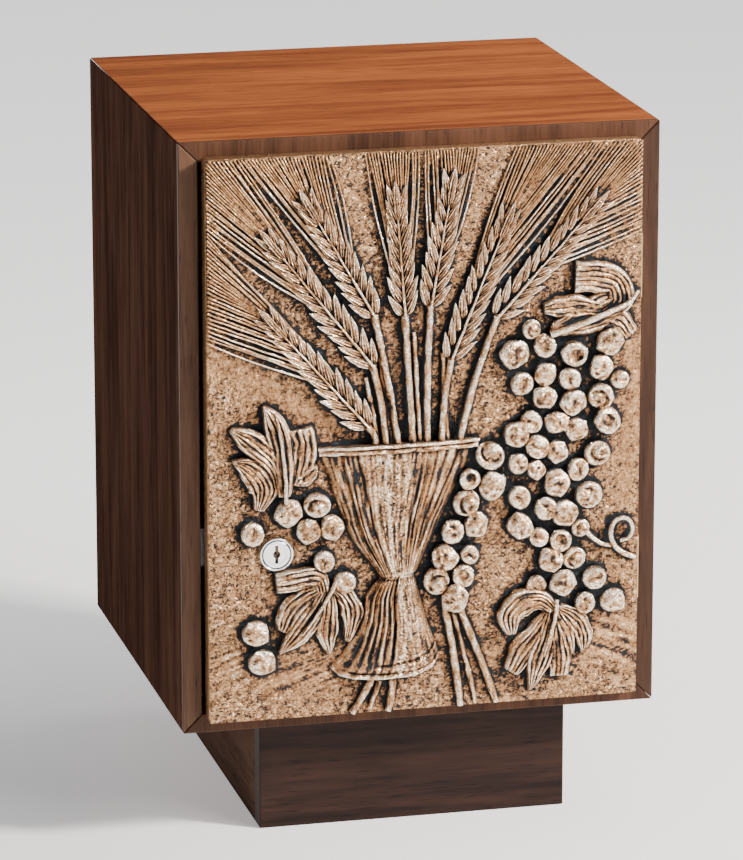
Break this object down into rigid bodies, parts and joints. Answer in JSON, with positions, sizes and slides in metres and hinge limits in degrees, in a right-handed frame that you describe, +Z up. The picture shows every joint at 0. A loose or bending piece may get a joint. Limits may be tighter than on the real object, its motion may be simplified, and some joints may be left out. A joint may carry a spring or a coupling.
{
  "type": "tabernacle box",
  "caption": "Small wooden tabernacle on a plinth, closed by a hinged cast bronze door with a chalice, wheat, vine leaves and grapes in relief, and a cam lock.",
  "frame": {"origin": "centre of the footprint, on the surface that the plinth stands on", "axes": "+Z up, +X to the right of someone facing the door, the door faces -Y"},
  "size_m": [0.3, 0.302, 0.442],
  "materials": {
    "walnut_veneer": "satin lacquer, reddish brown",
    "patinated_bronze": "cast, dark in its hollows and rubbed bright on its high places",
    "gilt_sheet": "polished gilt",
    "hinge_brass": "satin",
    "bright_chrome": "bright",
    "steel": "bright zinc"
  },
  "bodies": {
    "case": {"left_panel": "walnut_veneer", "right_panel": "walnut_veneer", "top_panel": "walnut_veneer", "bottom_panel": "walnut_veneer", "back_panel": "walnut_veneer", "edge_lipping_left": "walnut_veneer", "edge_lipping_right": "walnut_veneer", "edge_lipping_top": "walnut_veneer", "edge_lipping_bottom": "walnut_veneer", "plinth_front": "walnut_veneer", "plinth_back": "walnut_veneer", "plinth_left": "walnut_veneer", "plinth_right": "walnut_veneer", "plinth_block_front_left": "walnut_veneer", "plinth_block_front_right": "walnut_veneer", "plinth_block_rear_left": "walnut_veneer", "plinth_block_rear_right": "walnut_veneer", "lining_floor": "gilt_sheet", "lining_roof": "gilt_sheet", "lining_left": "gilt_sheet", "lining_right": "gilt_sheet", "lining_back": "gilt_sheet", "plinth_screw_front_left": "steel", "plinth_screw_front_right": "steel", "plinth_screw_rear_left": "steel", "plinth_screw_rear_right": "steel", "hinge_lower_case_leaf": "hinge_brass", "hinge_lower_pin": "hinge_brass", "hinge_lower_case_screw_lower": "hinge_brass", "hinge_lower_case_screw_upper": "hinge_brass", "hinge_upper_case_leaf": "hinge_brass", "hinge_upper_pin": "hinge_brass", "hinge_upper_case_screw_lower": "hinge_brass", "hinge_upper_case_screw_upper": "hinge_brass", "strike_plate": "hinge_brass", "strike_screw_lower": "hinge_brass", "strike_screw_upper": "hinge_brass"},
    "door": {"door_casting": "patinated_bronze", "door_backing": "walnut_veneer", "door_lining": "gilt_sheet", "backing_screw_lower_left": "hinge_brass", "backing_screw_lower_right": "hinge_brass", "backing_screw_upper_left": "hinge_brass", "backing_screw_upper_right": "hinge_brass", "hinge_lower_door_leaf": "hinge_brass", "hinge_lower_door_screw_lower": "hinge_brass", "hinge_lower_door_screw_upper": "hinge_brass", "hinge_upper_door_leaf": "hinge_brass", "hinge_upper_door_screw_lower": "hinge_brass", "hinge_upper_door_screw_upper": "hinge_brass", "lock_housing": "bright_chrome", "lock_nut": "hinge_brass"},
    "lock_core": {"lock_plug": "bright_chrome", "lock_pin": "steel", "lock_cam": "steel", "cam_screw": "steel"}
  },
  "joints": [
    {"name": "door_hinge", "type": "hinge", "parent": "case", "child": "door", "pos_m": [0.1355, -0.1345, 0.257], "axis": [0, 0, 1], "range_deg": [0, 110]},
    {"name": "lock_turn", "type": "hinge", "parent": "door", "child": "lock_core", "pos_m": [-0.094, -0.12, 0.187], "axis": [0, 1, 0], "range_deg": [0, 90]}
  ]
}
